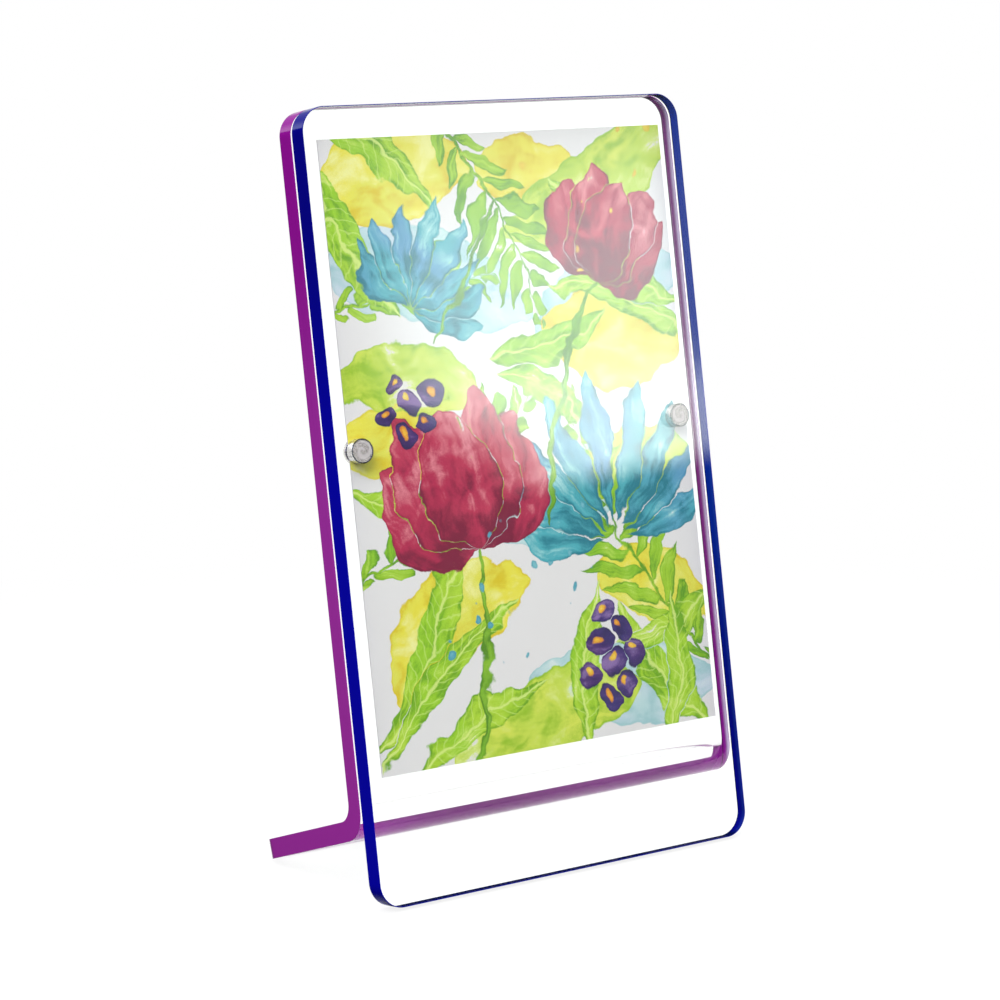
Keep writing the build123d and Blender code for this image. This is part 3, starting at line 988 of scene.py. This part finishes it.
# %% Fronds and blades
painting = paint(painting, marks([
    (-54, -30, 38, 74, 17, -26, 6.4, 0.9, 0.46), (54, -62, 118, 84, 16, 30, 6.8, 0.8, 0.45),
    (-20, 82, -62, 62, 14, 16, 5.6, 0.9, 0.44), (-54, 34, 6, 52, 12, 14, 6.0, 0.9, 0.45)], frond),
    "#5F9A1C", "#8FC42A", "#A6CE30", "#C4E05C", bristle=0.9, dry=0.15, seed=3.0)
painting = paint(painting, marks([
    (-52, -72, 62, 62, 5.2, -22, 0.9, 0.9), (-50, -76, 40, 58, 4.6, 16, 1.0, 0.9),
    (-44, -80, 24, 50, 4.0, 14, 1.0, 0.9), (54, 22, 160, 46, 4.8, -18, 0.9, 0.9),
    (54, 30, 138, 52, 5.4, 20, 0.9, 0.9), (-54, 84, -40, 44, 5.0, 18, 0.9, 0.9),
    (-54, 76, -64, 50, 4.6, -16, 0.9, 0.9), (10, -80, 78, 44, 4.4, 12, 1.0, 0.9),
    (50, -78, 128, 44, 4.8, 14, 0.9, 0.9), (54, -44, 196, 36, 4.4, 12, 0.9, 0.9),
    (36, -82, 84, 40, 4.6, -10, 1.0, 0.9), (-8, 18, -30, 30, 4.2, 10, 1.0, 0.9),
    (-10, 22, 12, 40, 4.4, -14, 1.0, 0.9), (-54, -8, -24, 32, 4.4, 10, 1.0, 0.9)]),
    "#6FA81A", "#9ED02C", "#B4D838", "#D6EA70", bristle=0.7, dry=0.12, vein="#E2F08C", seed=4.0)
print("with the leaves:", len(tree.nodes), "nodes")

# %% Teal fan palm
fan = [(25 + 3 * cos(radians(a)), -27 + 3 * sin(radians(a)), a, 42 - abs(a - 96) * 0.16, 4.1,
        (a - 96) * 0.16, 1.25, 0.8) for a in (20, 170, 38, 152, 56, 134, 74, 116, 96)]
small_fan = [(-30, 34, a, 30 - abs(a - 60) * 0.12, 3.3, (a - 60) * 0.14, 1.25, 0.8)
             for a in (-12, 128, 8, 108, 28, 88, 48, 68)]
painting = paint(painting, marks(fan + small_fan), "#22798C", "#4FAEBC", "#5C9CC4", "#A8DCDE", bristle=0.6,
                 dry=0.12, pool=0.25, seed=5.0)
print("blades in the two fans:", len(fan), "and", len(small_fan))

# %% Tulips
def tulip(x, y, direction, size):
    """Five petals in a cup, the side ones first."""
    spread = ((-34, 0.88, 0.30, -0.35), (34, 0.88, 0.30, 0.35), (-17, 1.0, 0.27, -0.2), (17, 1.0, 0.27, 0.2),
              (0, 0.93, 0.30, 0.0))
    return [(x, y, direction + turn_by, size * long, size * wide, size * bow, 0.85, 0.7)
            for turn_by, long, wide, bow in spread]


stems = marks([(-16, -26, 262, 56, 1.1, 10, 1.0, 0.2), (26, 38, 250, 64, 1.0, -16, 1.0, 0.2),
               (-4, 60, 240, 40, 0.8, 8, 1.0, 0.2)])
painting = paint(painting, stems, "#558A1A", "#7CB426", "#8ABC30", "#A9D24A", seed=6.0)
painting = paint(painting, marks(tulip(-16, -26, 104, 40) + tulip(26, 38, 66, 30)),
                 "#7E0F38", "#B8244E", "#C8385A", "#E88A98", bristle=0.32, dry=0.05, pool=0.4, seed=7.0)
print("with the tulips:", len(tree.nodes), "nodes")

# %% Berries
def berries(x, y, places, size):
    """Round berries in a loose bunch."""
    return [(x + dx - size, y + dy, 0, 2 * size, size, 0, 1.0, 0.5) for dx, dy in places]


bunch = ((0, 0), (6, 3), (-5, 5), (2, 8), (8, 10), (-2, 13), (5, 15), (1, 20))
berry_marks = marks(berries(18, -66, bunch, 3.4) + berries(-34, 4, bunch[:6], 3.0))
painting = paint(painting, berry_marks, "#2A1C50", "#4C2A70", "#3C2C74", "#9070AC", bristle=0.4, seed=8.0)
berry_inside = add(tree, "VectorMath", berry_marks, (1, 0, 0), operation="DOT_PRODUCT", out="Value")
in_berry = add(tree, "VectorMath", berry_marks, (1000, NUMBER_STEP, 1000), operation="MODULO")
in_berry = add(tree, "VectorMath", in_berry, (0, 1, 1), operation="MULTIPLY")
off_glint = add(tree, "VectorMath", in_berry, (0, 2.7, 0.8), operation="DISTANCE", out="Value")
glint = add(tree, "Math", 1.15, off_glint, operation="SUBTRACT")
glint = add(tree, "CombineXYZ", add(tree, "Math", glint, berry_inside, operation="MINIMUM"), 0.0, 0.0)
painting = paint(painting, glint, "#E0862A", "#F2C63C", "#F4B83A", "#F8E27A", seed=9.0)
print("berries in a full bunch:", len(bunch))

# %% [markdown]
# The spatter comes from a Voronoi texture. Each of its cells holds one drop, and the
# cell's random colour says how large the drop is and whether it is there at all. A broad
# mark bounds the patch of card that a spatter reached.

# %% Spatter
drops = add(tree, "TexVoronoi", {"Vector": hand, "Scale": 0.26, "Randomness": 1.0}, out=None)
size_of_drop = add(tree, "SeparateXYZ", drops.outputs["Color"], out=None)
drop_radius = add(tree, "Math", size_of_drop.outputs["X"], 0.34, operation="MULTIPLY")
drop_edge = add(tree, "Math", drop_radius, drops.outputs["Distance"], operation="SUBTRACT")
drop_edge = add(tree, "Math", drop_edge, 3.8, operation="MULTIPLY")


def drop_field(low, high, *centre):
    """Spattered drops of the sizes between low and high, thrown within a patch of the card."""
    patch = add(tree, "VectorMath", marks([centre]), (1, 0, 0), operation="DOT_PRODUCT", out="Value")
    shown = add(tree, "Math", patch, 0.0, operation="GREATER_THAN")
    for limit, side in ((low, "GREATER_THAN"), (high, "LESS_THAN")):
        kept = add(tree, "Math", size_of_drop.outputs["Y"], limit, operation=side)
        shown = add(tree, "Math", shown, kept, operation="MULTIPLY")
    hidden = add(tree, "Math", 1.0, shown, operation="SUBTRACT")
    edge = add(tree, "Math", hidden, -9.0, drop_edge, operation="MULTIPLY_ADD")
    return add(tree, "CombineXYZ", edge, 0.0, 0.0)


painting = paint(painting, drop_field(0.0, 0.6, -6, 50, 20, 60, 20, 0, 1.0, 0.6),
                 "#E3B92E", "#F4DC48", "#F2CE3C", "#F8EC8C", seed=10.0)
painting = paint(painting, drop_field(0.0, 0.5, -30, -50, 30, 60, 18, 0, 1.0, 0.6),
                 "#4C9DB4", "#7FC0CC", "#6CB0C8", "#AFDDE0", seed=11.0)
print("painting:", len(tree.nodes), "nodes")

# %% [markdown]
# The card itself is coated photo stock with a satin face, which adds a soft third
# reflection behind the two of the front panel. The back and the cut edges are uncoated
# paper, told apart from the face by their depth. Light that the card throws on its
# surroundings needs no picture, so such a ray sees the painting's average colour, which
# spares it several hundred nodes.

# %% Card stock
depth_here = add(tree, "VectorMath", slope_point(tree), (0, 0, 1), operation="DOT_PRODUCT", out="Value")
just_behind_face = -(sheet + magnet_proud + 0.03)
is_face = add(tree, "Math", depth_here, just_behind_face, operation="GREATER_THAN")
fibre = add(tree, "TexNoise", {"Vector": card_point, "Scale": 1.2, "Detail": 5.0, "Roughness": 0.7})
stock = add(tree, "Mix", {0: fibre, 6: colour("#F3EDEC"), 7: colour("#FCF8F7")}, **COLOUR_MIX)
surface = add(tree, "Mix", {0: is_face, 6: stock, 7: painting}, **COLOUR_MIX)
satin = add(tree, "Mix", {0: is_face, 2: 0.7, 3: 0.35}, data_type="FLOAT")
tooth = add(tree, "Bump", {"Strength": 0.02, "Distance": 0.00002, "Height": grain})
finish = add(tree, "BsdfPrincipled", {"Base Color": surface, "Roughness": satin, "Normal": tooth})
cast = add(tree, "BsdfDiffuse", colour("#C3CC9C"))
show(tree, add(tree, "MixShader", add(tree, "LightPath", out="Is Diffuse Ray"), finish, cast))
print("satin photo paper:", len(tree.nodes), "nodes")
frame["nodes"]["photo_card"].data.materials.clear()
frame["nodes"]["photo_card"].data.materials.append(card)
